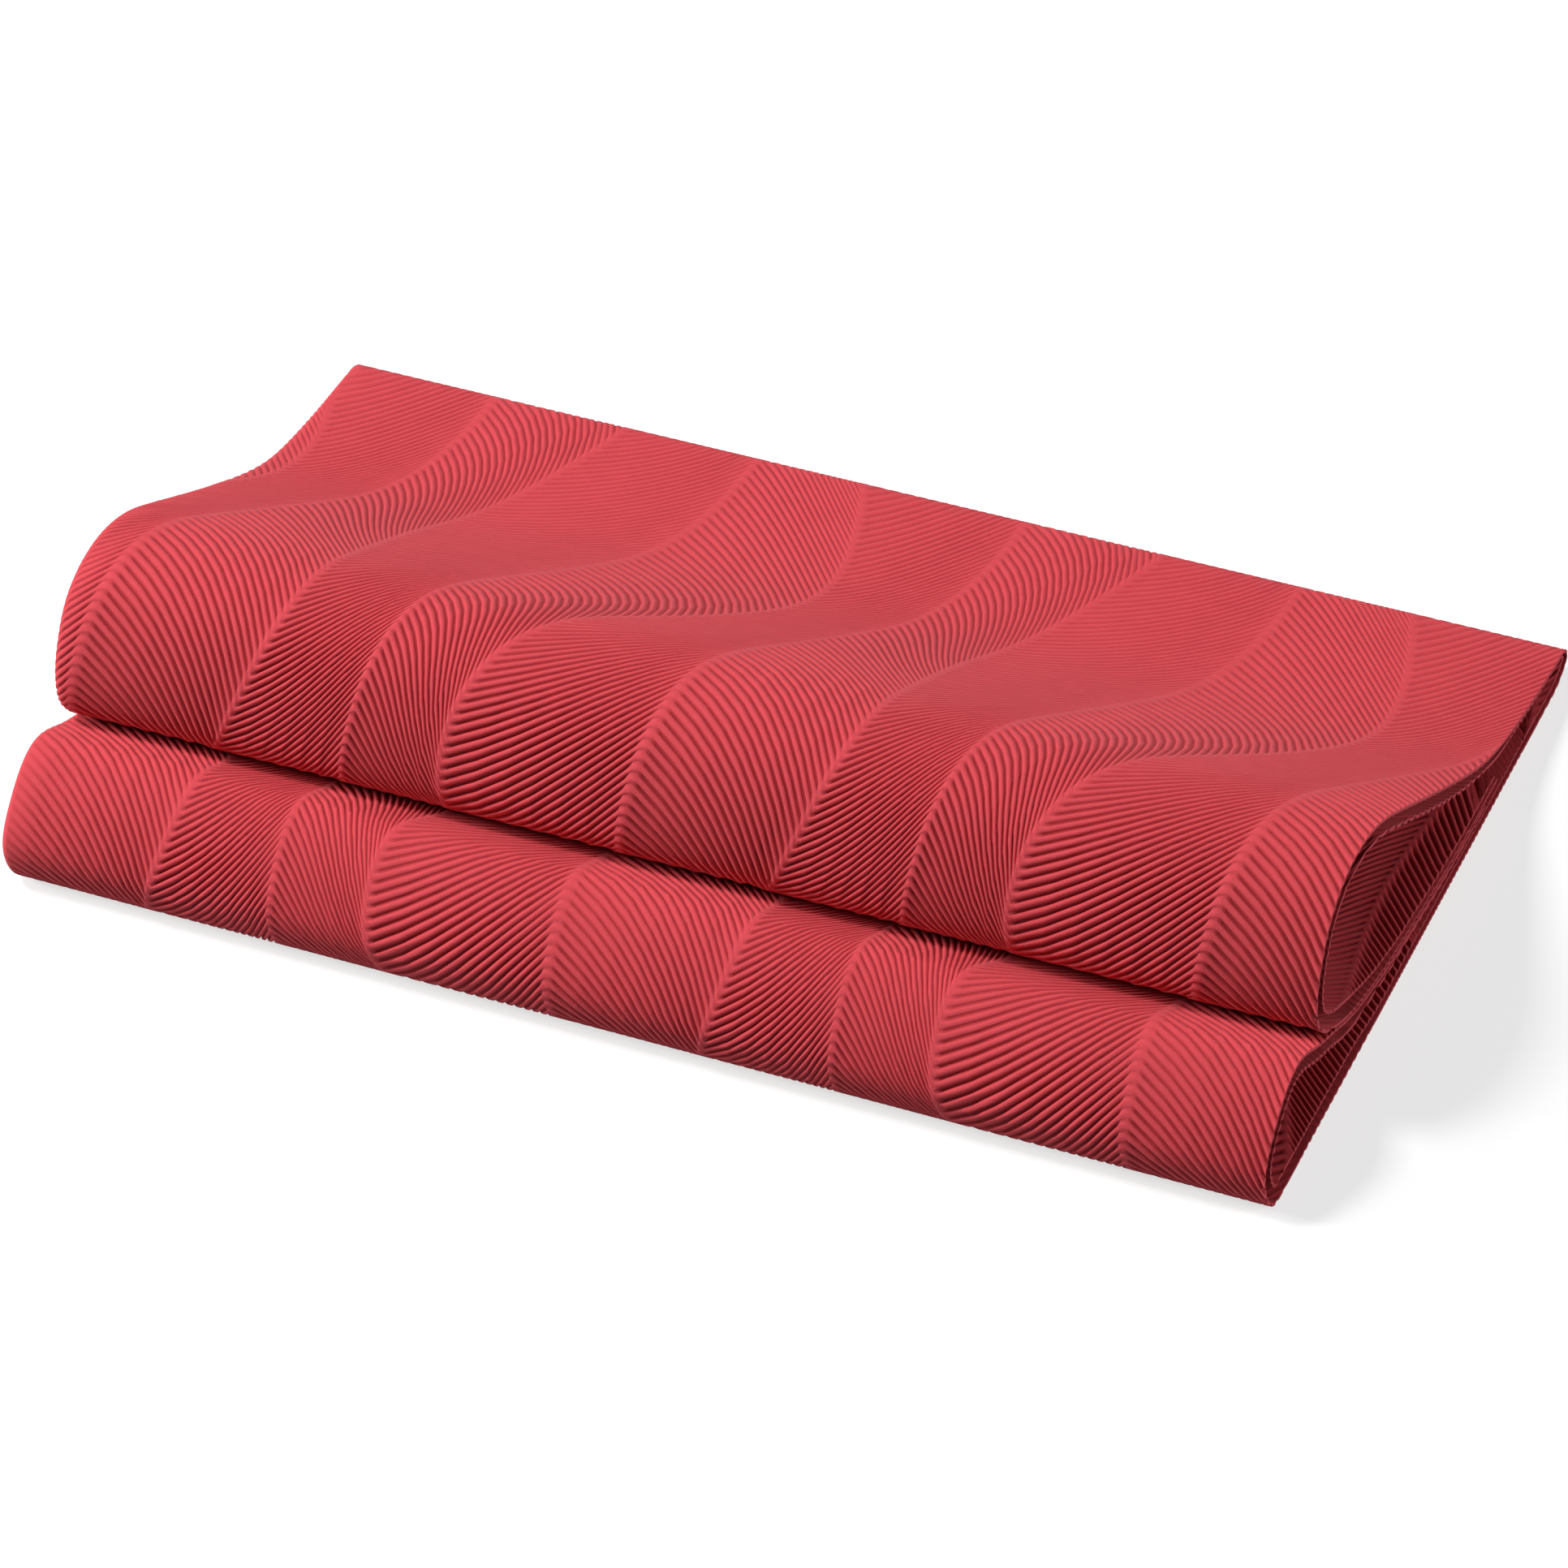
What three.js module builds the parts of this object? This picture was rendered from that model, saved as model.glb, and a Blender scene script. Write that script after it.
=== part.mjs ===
// A paper napkin, folded to a strip and lying with its creased side to the back.
//
// The square sheet is first folded in half, so the left end of the bundle is a crease and the
// right end shows the cut edges of both layers. The double layer is then folded three times the
// same way round. From its free edge it runs forward inside the upper roll, round the front of
// that roll, back over the top, down the back crease, forward along the surface, round the
// front of the lower roll, and back inside it to the other free edge. Each roll stands open as a
// tunnel, and the two inner runs lie against each other between the tunnels.
//
// Millimetres, +Z up. X runs along the bundle and Y from its front to its back. The origin is
// at the middle of the bundle, on the surface that it lies on.

import * as THREE from "three";

const SHEET_SIDE = 400;
const PLY = 1.0;
const GAP_PRESSED = 0.3;
const GAP_OPEN = 1.2;
const LAY_GAP = 0.34;

const BUNDLE_LENGTH = SHEET_SIDE / 2;
const BUNDLE_DEPTH = 117;
const UPPER_STRIP = 186;
const LOWER_STRIP = SHEET_SIDE - UPPER_STRIP;

const LAYER_PAIR = PLY * 2 + GAP_PRESSED;
const BACK_RADIUS = LAYER_PAIR + LAY_GAP / 2;
const LAY_HEIGHT = LAYER_PAIR * 2 + LAY_GAP * 1.5;

const LENGTH_STEPS = 2;
const CREASE_STEPS = 6;
const STEP_LENGTH = 6;
const STEP_TURN = 8;

// Where the two inner runs lie against each other, from the free edges to the place where the
// rolls part. y is measured back from the front of the lower roll, and rise is the slope of the
// line in degrees, climbing towards the front.
const SEAM = [
  { at: "free edges", y: 100.0, z: LAY_HEIGHT, rise: 0, gap: GAP_PRESSED },
  { at: "end of the flat stack", y: 58.0, z: LAY_HEIGHT, rise: 0, gap: GAP_PRESSED },
  { at: "foot of the upper tunnel", y: 44.0, z: 6.5, rise: 12, gap: 0.7 },
  { at: "under the upper roll", y: 33.2, z: 9.3, rise: 20, gap: GAP_OPEN },
  { at: "where the rolls part", y: 26.0, z: 12.6, rise: 27, gap: GAP_OPEN },
];

// The outer face of the bundle from the upper roll's underside to the lower roll's top. heading
// is the way of travel in degrees, 0 to the back and 90 straight up, and it falls all the way
// round except over the hollow of the top. gap is the space between the two layers there.
const OUTSIDE = [
  { at: "front of the upper roll", y: 21.0, z: 19.6, heading: 90, gap: GAP_OPEN },
  { at: "shoulder of the upper roll", y: 25.6, z: 30.2, heading: 52, gap: GAP_OPEN },
  { at: "crown of the upper roll", y: 38.4, z: 36.2, heading: 0, gap: GAP_OPEN },
  { at: "start of the long slope", y: 52.2, z: 31.3, heading: -33, gap: GAP_OPEN },
  { at: "middle of the long slope", y: 70.2, z: 19.5, heading: -32, gap: GAP_OPEN },
  { at: "hollow of the top", y: 88.5, z: 11.0, heading: -20, gap: 0.5 },
  { at: "foot of the long slope", y: 98.9, z: 7.5, heading: -11, gap: GAP_PRESSED },
  {
    at: "top of the back crease", y: BUNDLE_DEPTH - BACK_RADIUS, z: BACK_RADIUS * 2,
    heading: 0, gap: GAP_PRESSED,
  },
  { at: "back crease", y: BUNDLE_DEPTH, z: BACK_RADIUS, heading: -90, gap: GAP_PRESSED },
  {
    at: "bottom of the back crease", y: BUNDLE_DEPTH - BACK_RADIUS, z: 0,
    heading: -180, gap: GAP_PRESSED,
  },
  { at: "back of the lower tunnel", y: 45.0, z: 0, heading: -180, gap: GAP_PRESSED },
  { at: "floor of the lower tunnel", y: 30.0, z: 0, heading: -180, gap: GAP_OPEN },
  { at: "front edge of the flat base", y: 4.4, z: 0, heading: -180, gap: GAP_OPEN },
  { at: "front of the lower roll", y: 0, z: 6.6, heading: -270, gap: GAP_OPEN },
  { at: "shoulder of the lower roll", y: 3.8, z: 13.0, heading: -319, gap: GAP_OPEN },
  { at: "crown of the lower roll", y: 13.8, z: 18.1, heading: -360, gap: GAP_OPEN },
  { at: "neck of the lower roll", y: 20.4, z: 15.5, heading: -390, gap: GAP_OPEN },
];

const radians = THREE.MathUtils.degToRad;

/** The inner run of the upper roll: the seam line, raised by half of the gap between the runs. */
function upperRun() {
  return SEAM.map((place) => ({
    at: place.at,
    y: place.y + Math.sin(radians(place.rise)) * LAY_GAP / 2,
    z: place.z + Math.cos(radians(place.rise)) * LAY_GAP / 2,
    heading: 180 - place.rise,
    gap: place.gap,
  }));
}

/** The inner run of the lower roll: the seam line backwards, lowered by half of that gap. */
function lowerRun() {
  return SEAM.map((place) => ({
    at: place.at,
    y: place.y - Math.sin(radians(place.rise)) * LAY_GAP / 2,
    z: place.z - Math.cos(radians(place.rise)) * LAY_GAP / 2,
    heading: -360 - place.rise,
    gap: place.gap,
  })).reverse();
}

/** Points along a cubic from one place to the next, close to an arc where the heading turns. */
function span(from, to) {
  const start = new THREE.Vector2(from.y, from.z);
  const end = new THREE.Vector2(to.y, to.z);
  const chord = start.distanceTo(end);
  const turn = radians(to.heading - from.heading);
  const reach = chord / Math.cos(turn / 4) ** 2 / 3;
  const startHandle = start.clone().add(heading(from.heading).multiplyScalar(reach));
  const endHandle = end.clone().sub(heading(to.heading).multiplyScalar(reach));
  const curve = new THREE.CubicBezierCurve(start, startHandle, endHandle, end);
  const turnSteps = Math.abs(to.heading - from.heading) / STEP_TURN;
  const steps = Math.max(1, Math.ceil(Math.max(chord / STEP_LENGTH, turnSteps)));
  const stations = [];
  for (let step = 0; step < steps; step += 1) {
    const along = step / steps;
    const eased = THREE.MathUtils.smoothstep(along, 0, 1);
    stations.push({
      point: curve.getPoint(along),
      tangent: curve.getTangent(along),
      gap: THREE.MathUtils.lerp(from.gap, to.gap, eased),
      at: from.at,
    });
  }
  return stations;
}

function heading(degrees) {
  return new THREE.Vector2(Math.cos(radians(degrees)), Math.sin(radians(degrees)));
}

/** All stations from free edge to free edge, with the seam's runs at their full modelled length. */
function wholePath() {
  const places = [...upperRun(), ...OUTSIDE, ...lowerRun()];
  const stations = [];
  for (let index = 0; index < places.length - 1; index += 1) {
    stations.push(...span(places[index], places[index + 1]));
  }
  const last = places[places.length - 1];
  stations.push({
    point: new THREE.Vector2(last.y, last.z),
    tangent: heading(last.heading),
    gap: last.gap,
    at: last.at,
  });
  return stations;
}

/** Stations from the back crease outwards, ended where that end of the strip runs out. */
function cutToLength(stations, length) {
  const kept = [stations[0]];
  let run = 0;
  for (let index = 1; index < stations.length; index += 1) {
    const before = stations[index - 1];
    const after = stations[index];
    const step = before.point.distanceTo(after.point);
    if (run + step >= length) {
      const share = (length - run) / step;
      kept.push({
        point: before.point.clone().lerp(after.point, share),
        tangent: before.tangent.clone().lerp(after.tangent, share).normalize(),
        gap: THREE.MathUtils.lerp(before.gap, after.gap, share),
        at: "free edge",
      });
      return kept;
    }
    run += step;
    kept.push(after);
  }
  throw new Error("the seam is too short for the sheet");
}

/** The path of the strip, both ends of it cut to length from the back crease. */
function stripPath() {
  const stations = wholePath();
  const crease = stations.findIndex((station) => station.at === "back crease");
  const toUpperEdge = cutToLength(stations.slice(0, crease + 1).reverse(), UPPER_STRIP);
  const toLowerEdge = cutToLength(stations.slice(crease), LOWER_STRIP);
  return [...toUpperEdge.reverse(), ...toLowerEdge.slice(1)];
}

/** Evenly spaced values from one number to another, both ends included. */
function spread(from, to, steps) {
  return Array.from({ length: steps + 1 }, (unused, index) => from + (to - from) * index / steps);
}

/**
 * The double layer's section at one station is a long flat U: along the outer layer, round the
 * left crease and back along the inner layer. This is one side of it, as [x, depth inside the
 * outer face] pairs, a given distance out from the middle of the gap between the layers.
 */
function sectionSide(gap, reach) {
  const right = BUNDLE_LENGTH / 2;
  const middle = PLY + gap / 2;
  const creaseX = -right + middle;
  const turned = (degrees) => [
    creaseX - reach * Math.sin(radians(degrees)),
    middle - reach * Math.cos(radians(degrees)),
  ];
  return [
    ...spread(right, creaseX, LENGTH_STEPS).map((x) => [x, middle - reach]),
    ...spread(0, 180, CREASE_STEPS).slice(1, -1).map(turned),
    ...spread(creaseX, right, LENGTH_STEPS).map((x) => [x, middle + reach]),
  ];
}

/** The whole section: the U's outer side, then its inner side backwards. */
function section(gap) {
  return [...sectionSide(gap, PLY + gap / 2), ...sectionSide(gap, gap / 2).reverse()];
}

/** The section carried along the path and closed at both free edges. */
function napkinGeometry() {
  const stations = stripPath();
  const positions = [];
  for (const { point, tangent, gap } of stations) {
    const inward = new THREE.Vector2(tangent.y, -tangent.x);
    for (const [x, depth] of section(gap)) {
      positions.push(
        x,
        point.x + inward.x * depth - BUNDLE_DEPTH / 2,
        point.y + inward.y * depth,
      );
    }
  }
  const around = section(GAP_OPEN).length;
  const indices = [];
  const quad = (a, b, c, d) => indices.push(a, c, b, a, d, c);
  for (let station = 0; station < stations.length - 1; station += 1) {
    const here = station * around;
    const ahead = here + around;
    for (let side = 0; side < around; side += 1) {
      const next = (side + 1) % around;
      quad(here + side, here + next, ahead + next, ahead + side);
    }
  }
  const lastRing = (stations.length - 1) * around;
  for (let outer = 0; outer < around / 2 - 1; outer += 1) {
    const inner = around - 1 - outer;
    quad(inner, inner - 1, outer + 1, outer);
    quad(lastRing + outer, lastRing + outer + 1, lastRing + inner - 1, lastRing + inner);
  }
  const geometry = new THREE.BufferGeometry();
  geometry.setAttribute("position", new THREE.Float32BufferAttribute(positions, 3));
  geometry.setIndex(indices);
  geometry.computeVertexNormals();
  return geometry;
}

function napkin() {
  const paper = new THREE.MeshStandardMaterial({
    color: new THREE.Color(0.69, 0.075, 0.09),
    roughness: 0.92,
    metalness: 0,
  });
  const mesh = new THREE.Mesh(napkinGeometry(), paper);
  mesh.name = "napkin";
  return mesh;
}

const bundle = new THREE.Group();
bundle.add(napkin());

export default bundle;
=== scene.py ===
"""A paper napkin, folded to a strip with two open rolls along its front, on a pale floor.

The square sheet is folded in half, then three times the same way round. The paper is embossed
all over with fine ribs. They lie in rows of leaves: each band between two flowing borders holds
ribs of one slant, and the next band holds ribs of the other.

Two coordinates run over the flat sheet, in millimetres: across, from the cut edge of the outer
layer over the left crease at half of the sheet to the cut edge of the inner layer, and along,
from the upper free edge over the back crease to the lower one. The paper is worked out flat,
as faces whose sides follow the ribs, scored where it will bend, and then folded.
"""
import logging
import math
from dataclasses import dataclass, field
from enum import IntEnum

import bpy
import numpy as np
from bpy.types import Material, Mesh, Node, NodeSocket, NodeTree, Object
from mathutils import Matrix, Vector


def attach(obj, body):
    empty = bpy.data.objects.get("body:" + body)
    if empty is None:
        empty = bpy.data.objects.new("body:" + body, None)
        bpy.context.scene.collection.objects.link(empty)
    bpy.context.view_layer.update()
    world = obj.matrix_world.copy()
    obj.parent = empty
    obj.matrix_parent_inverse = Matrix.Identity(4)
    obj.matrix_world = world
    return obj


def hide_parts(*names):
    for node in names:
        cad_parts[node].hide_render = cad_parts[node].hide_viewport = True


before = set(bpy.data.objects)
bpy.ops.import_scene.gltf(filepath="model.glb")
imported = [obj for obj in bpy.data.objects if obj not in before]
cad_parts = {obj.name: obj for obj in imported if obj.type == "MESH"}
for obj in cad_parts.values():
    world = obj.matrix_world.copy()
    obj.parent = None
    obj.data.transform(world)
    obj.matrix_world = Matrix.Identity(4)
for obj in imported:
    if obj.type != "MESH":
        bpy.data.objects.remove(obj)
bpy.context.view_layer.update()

log = logging.getLogger("napkin")

MILLIMETRE = 0.001
SHEET_SIDE = 400.0
BUNDLE_LENGTH = SHEET_SIDE / 2
BUNDLE_DEPTH = 117.0
UPPER_STRIP = 186.0

BACK_CREASE = UPPER_STRIP
LEFT_CREASE = SHEET_SIDE / 2

# The paper is PAPER thick under a groove. Its face rises and falls by RELIEF and its back by
# BACK_RELIEF, so one layer takes up PLY. A gap is the space between two layers, and LAY_GAP the
# one between the two inner runs.
PAPER = 0.24
RELIEF = 0.44
BACK_RELIEF = RELIEF / 2
PLY = PAPER + RELIEF
GAP_PRESSED = 0.09
GAP_OPEN = 1.7
GAP_ROLL = 2.1
LAY_GAP = 0.14
LAYER_PAIR = PLY * 2 + GAP_PRESSED
LAY_HEIGHT = LAYER_PAIR * 2 + LAY_GAP * 1.5


@dataclass(frozen=True)
class Place:
    """A place that the outer face of the folded strip passes, seen from the cut end.

    y is measured back from the front of the lower roll and z up from the floor, in millimetres.
    heading is the way of travel in degrees, 0 to the back and 90 straight up. gap is the space
    between the two layers of the paper there.
    """

    at: str
    y: float
    z: float
    heading: float
    gap: float


@dataclass(frozen=True)
class SeamPlace:
    """A place on the line where the two inner runs meet. rise climbs towards the front."""

    at: str
    y: float
    z: float
    rise: float
    gap: float


SEAM = (
    SeamPlace("free edges", 100.0, LAY_HEIGHT, 0, GAP_PRESSED),
    SeamPlace("end of the flat stack", 78.0, LAY_HEIGHT, 0, GAP_PRESSED),
    SeamPlace("back of the upper tunnel", 54.0, 5.1, 6, 0.35),
    SeamPlace("foot of the upper tunnel", 44.0, 6.5, 11, 0.8),
    SeamPlace("under the upper roll", 33.2, 9.2, 19, GAP_OPEN),
    SeamPlace("where the rolls part", 27.4, 11.8, 26, GAP_OPEN),
)

OUTSIDE = (
    Place("front of the upper roll", 21.1, 19.6, 90, GAP_ROLL),
    Place("shoulder of the upper roll", 25.6, 30.0, 52, GAP_ROLL),
    Place("crown of the upper roll", 38.4, 35.9, 0, GAP_ROLL),
    Place("start of the long slope", 52.2, 31.1, -33, GAP_OPEN),
    Place("middle of the long slope", 70.2, 19.3, -32, GAP_OPEN),
    Place("hollow of the top", 88.5, 9.4, -19, 0.9),
    Place("foot of the long slope", 98.9, 6.9, -9, 0.35),
    Place("top of the back crease", 114.9, 4.9, -6, GAP_PRESSED),
    Place("back crease", BUNDLE_DEPTH, 3.0, -92, GAP_PRESSED),
    Place("foot of the back crease", 114.2, 0.75, -156, GAP_PRESSED),
    Place("back of the flat base", 109.0, 0, -180, GAP_PRESSED),
    Place("back of the lower tunnel", 45.0, 0, -180, GAP_PRESSED),
    Place("floor of the lower tunnel", 30.0, 0, -180, 1.5),
    Place("front edge of the flat base", 4.6, 0, -180, GAP_OPEN),
    Place("front of the lower roll", 0, 6.4, -270, GAP_ROLL),
    Place("shoulder of the lower roll", 3.8, 12.9, -319, GAP_ROLL),
    Place("crown of the lower roll", 13.8, 17.9, -360, GAP_ROLL),
    Place("neck of the lower roll", 20.4, 15.1, -391, GAP_OPEN),
)


class FoldPath:
    """The outer face of the folded strip, as arrays over the distance along the sheet."""

    STATIONS = 60
    LEAST_BEND = 1e-9

    def __init__(self) -> None:
        """Runs through all places and measures the way from the upper free edge."""
        places = self._places()
        stretches = [self._stretch(start, end) for start, end in zip(places, places[1:])]
        y, z, heading, gap = np.concatenate(stretches, axis=1)
        travelled = np.concatenate([[0.0], np.cumsum(np.hypot(np.diff(y), np.diff(z)))])
        crease = self.STATIONS * [place.at for place in places].index("back crease")
        self.along = travelled - travelled[crease] + UPPER_STRIP
        self.y, self.z, self.heading, self.gap = y, z, heading, gap

    @staticmethod
    def _places() -> list[Place]:
        """The inner run of the upper roll, the outside, and the inner run of the lower roll."""
        upper, lower = [], []
        for place in SEAM:
            tilt = math.radians(place.rise)
            aside, above = math.sin(tilt) * LAY_GAP / 2, math.cos(tilt) * LAY_GAP / 2
            upper.append(
                Place(place.at, place.y + aside, place.z + above, 180 - place.rise, place.gap)
            )
            lower.append(
                Place(place.at, place.y - aside, place.z - above, -360 - place.rise, place.gap)
            )
        return [*upper, *OUTSIDE, *reversed(lower)]

    @classmethod
    def _stretch(cls, start: Place, end: Place) -> np.ndarray:
        """Stations from one place to just before the next.

        They lie on a cubic Bezier curve whose handles point along the two headings. A handle is
        a third of the chord, over the squared cosine of a quarter of the turn, which keeps the
        curve close to an arc. The gap eases from one value to the other as 3 t^2 - 2 t^3.

        Args:
            start: where the stretch begins.
            end: where it ends.

        Returns:
            Four rows: y, z, heading in radians, and gap.
        """
        turn = math.radians(end.heading - start.heading)
        chord = math.hypot(end.y - start.y, end.z - start.z)
        reach = chord / math.cos(turn / 4) ** 2 / 3
        headings = np.radians([start.heading, end.heading])
        first_way, last_way = np.stack([np.cos(headings), np.sin(headings)], 1) * reach
        first, last = np.array([start.y, start.z]), np.array([end.y, end.z])
        corners = [first, first + first_way, last - last_way, last]
        t = np.arange(cls.STATIONS) / cls.STATIONS
        weights = [(1 - t) ** 3, 3 * t * (1 - t) ** 2, 3 * t**2 * (1 - t), t**3]
        y, z = sum(np.outer(corner, weight) for corner, weight in zip(corners, weights))
        slopes = [3 * (1 - t) ** 2, 6 * t * (1 - t), 3 * t**2]
        legs = [corners[i + 1] - corners[i] for i in range(3)]
        dy, dz = sum(np.outer(leg, slope) for leg, slope in zip(legs, slopes))
        turned = np.arctan2(dz, dy) - headings[0]
        heading = headings[0] + (turned + math.pi) % (2 * math.pi) - math.pi
        eased = t * t * (3 - 2 * t)
        return np.array([y, z, heading, start.gap + (end.gap - start.gap) * eased])

    def at(self, along: np.ndarray) -> tuple[np.ndarray, np.ndarray, np.ndarray, np.ndarray]:
        """y, z, heading and gap at distances along the sheet."""
        rows = (self.y, self.z, self.heading, self.gap)
        return tuple(np.interp(along, self.along, row) for row in rows)

    def scores(self, turn: float, radius: float) -> np.ndarray:
        """Where the paper is scored, so that it bends in small steps at its tight turns.

        The angle turned is summed over the tight steps alone, with LEAST_BEND a millimetre for
        the rest, and a score lies wherever the sum passes a multiple of turn. None lies within
        a millimetre of a free edge.

        Args:
            turn: the angle between one score and the next.
            radius: wider bends than this one need no score.

        Returns:
            Places along the sheet.
        """
        bend, step = np.abs(np.diff(self.heading)), np.diff(self.along)
        tight = np.where(bend * radius > step, bend, 0.0)
        turned = np.concatenate([[0.0], np.cumsum(tight + step * self.LEAST_BEND)])
        places = np.interp(np.arange(1, turned[-1] / turn) * turn, turned, self.along)
        return places[(places > 1) & (places < SHEET_SIDE - 1)]


class Axis(IntEnum):
    """A direction over the flat sheet, as a column of FlatPaper.points."""

    ACROSS = 0
    ALONG = 1


@dataclass
class FlatPaper:
    """Flat faces. Each point has its place across and along the sheet and its groove, 0 to 1.

    A quad's first and last sides run along the ribs' rows: its corners are a, b, c and d, with
    a to b on one row and d to c on the next.
    """

    points: np.ndarray
    quads: np.ndarray
    triangles: np.ndarray = field(default_factory=lambda: np.empty((0, 3), dtype=int))

    SNAP = 0.02
    WELD_DIGITS = 3

    def score(self, axis: Axis, at: float) -> None:
        """Splits every face that a straight line crosses, so that the paper can bend there.

        A new point lies where the line meets a side, at the share of that side which the line
        cuts off. Points within SNAP of the line are moved onto it first. A quad that is crossed
        from row to row becomes two quads, and any other crossed quad becomes triangles, which
        are split at the corner that lies on the line or alone on its side of it.

        Args:
            axis: the direction that the line is square to.
            at: the line's place on that axis.
        """
        offset = self.points[:, axis] - at
        close = np.abs(offset) < self.SNAP
        self.points[close, axis] = at
        side = np.where(close, 0, np.sign(offset)).astype(int)
        sides = side[self.quads]
        crossed = (sides.min(axis=1) < 0) & (sides.max(axis=1) > 0)
        across_rows = crossed & (sides[:, 0] == sides[:, 3]) & (sides[:, 1] == sides[:, 2])
        across_rows &= sides[:, 0] == -sides[:, 1]
        a, b, c, d = self.quads[across_rows].T
        e, f, g, h = self.quads[crossed & ~across_rows].T
        halves = np.stack([e, f, g], 1), np.stack([e, g, h], 1)
        self.triangles = np.concatenate([self.triangles, *halves])
        self.quads = self.quads[~crossed]
        sides = side[self.triangles]
        crossed = (sides.min(axis=1) < 0) & (sides.max(axis=1) > 0)
        cut, sides = self.triangles[crossed], sides[crossed]
        touched = (sides == 0).any(axis=1)
        alone = np.argmax(sides == -sides.sum(axis=1, keepdims=True), axis=1)
        first = np.where(touched, np.argmax(sides == 0, axis=1), alone)
        order = (first[:, None] + np.arange(3)) % 3
        cut = np.take_along_axis(cut, order, axis=1)
        i, j, k = cut[touched].T
        l, m, n = cut[~touched].T
        p, q, r, s, t = self._crossings(axis, at, [(a, b), (d, c), (j, k), (l, m), (l, n)])
        halves = np.stack([a, p, q, d], 1), np.stack([p, b, c, q], 1)
        self.quads = np.concatenate([self.quads, *halves])
        pieces = [(i, j, r), (i, r, k), (l, s, t), (s, m, n), (s, n, t)]
        self.triangles = np.concatenate(
            [self.triangles[~crossed], *(np.stack(piece, 1) for piece in pieces)]
        )

    def _crossings(self, axis: Axis, at: float, sides: list[tuple]) -> list[np.ndarray]:
        """Adds one point where the line crosses each side, shared by the faces that meet there.

        Args:
            axis: the direction that the line is square to.
            at: the line's place on that axis.
            sides: pairs of arrays, the numbers of the points at both ends of some sides.

        Returns:
            The numbers of the new points, one array for each pair.
        """
        ends = np.concatenate([np.stack(pair, 1) for pair in sides])
        ends.sort(axis=1)
        ends, which = np.unique(ends, axis=0, return_inverse=True)
        low, high = self.points[ends[:, 0]], self.points[ends[:, 1]]
        share = (at - low[:, axis]) / (high[:, axis] - low[:, axis])
        added = low + (high - low) * share[:, None]
        added[:, axis] = at
        numbers = which.ravel() + len(self.points)
        self.points = np.concatenate([self.points, added])
        return np.split(numbers, np.cumsum([len(pair[0]) for pair in sides])[:-1])

    def trim(self, axis: Axis, low: float, high: float) -> None:
        """Cuts the paper off straight at two lines and keeps what lies between them."""
        self.score(axis, low)
        self.score(axis, high)
        self.quads = self._between(self.quads, axis, low, high)
        self.triangles = self._between(self.triangles, axis, low, high)

    def _between(self, faces: np.ndarray, axis: Axis, low: float, high: float) -> np.ndarray:
        """The faces whose middle lies between two lines."""
        middle = self.points[faces][:, :, axis].mean(axis=1)
        return faces[(middle > low) & (middle < high)]

    def weld(self) -> None:
        """Merges points at one place, drops what that flattens, and leaves out unused points."""
        places = np.round(self.points[:, :2], self.WELD_DIGITS)
        _, kept, numbers = np.unique(places, axis=0, return_index=True, return_inverse=True)
        numbers = numbers.ravel()
        self.points = self.points[kept]
        quads, triangles = numbers[self.quads], numbers[self.triangles]
        a, b, c, d = quads.T
        short = (a == b) | (b == c) | (c == d) | (d == a)
        a, b, c, d = quads[short].T
        triangles = np.concatenate([triangles, np.stack([a, b, c], 1), np.stack([a, c, d], 1)])
        a, b, c = triangles.T
        self.quads = quads[~short]
        self.triangles = triangles[(a != b) & (b != c) & (c != a)]
        used = np.zeros(len(self.points), dtype=bool)
        used[self.quads] = True
        used[self.triangles] = True
        renumbered = np.cumsum(used) - 1
        self.points = self.points[used]
        self.quads, self.triangles = renumbered[self.quads], renumbered[self.triangles]

    def edge(self, axis: Axis, at: float) -> np.ndarray:
        """The points on a trimmed edge, in order along it."""
        on = np.flatnonzero(self.points[:, axis] == at)
        return on[np.argsort(self.points[on, 1 - axis])]


@dataclass(frozen=True)
class Area:
    """A rectangle of the flat sheet, from left to right across it and start to end along it."""

    left: float
    right: float
    start: float
    end: float

    @property
    def size(self) -> tuple[float, float]:
        """Its width and length."""
        return self.right - self.left, self.end - self.start


@dataclass(frozen=True)
class Zone:
    """A stretch along the sheet where each rib has these rows, as shares of the pitch."""

    start: float
    end: float
    rows: tuple[float, ...]


@dataclass(frozen=True)
class RibGrid:
    """How finely the embossing is worked out: columns as shares of a band, rows by zone."""

    columns: tuple[float, ...]
    coarse: tuple[float, ...]
    zones: tuple[Zone, ...] = ()

    def rows(self, rib: float, pitch: float, lean: float) -> tuple[float, ...]:
        """The rows of the rib at a place along the sheet, which wanders by lean either way."""
        for zone in self.zones:
            if zone.start < rib + pitch + lean and rib - lean < zone.end:
                return zone.rows
        return self.coarse


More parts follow.
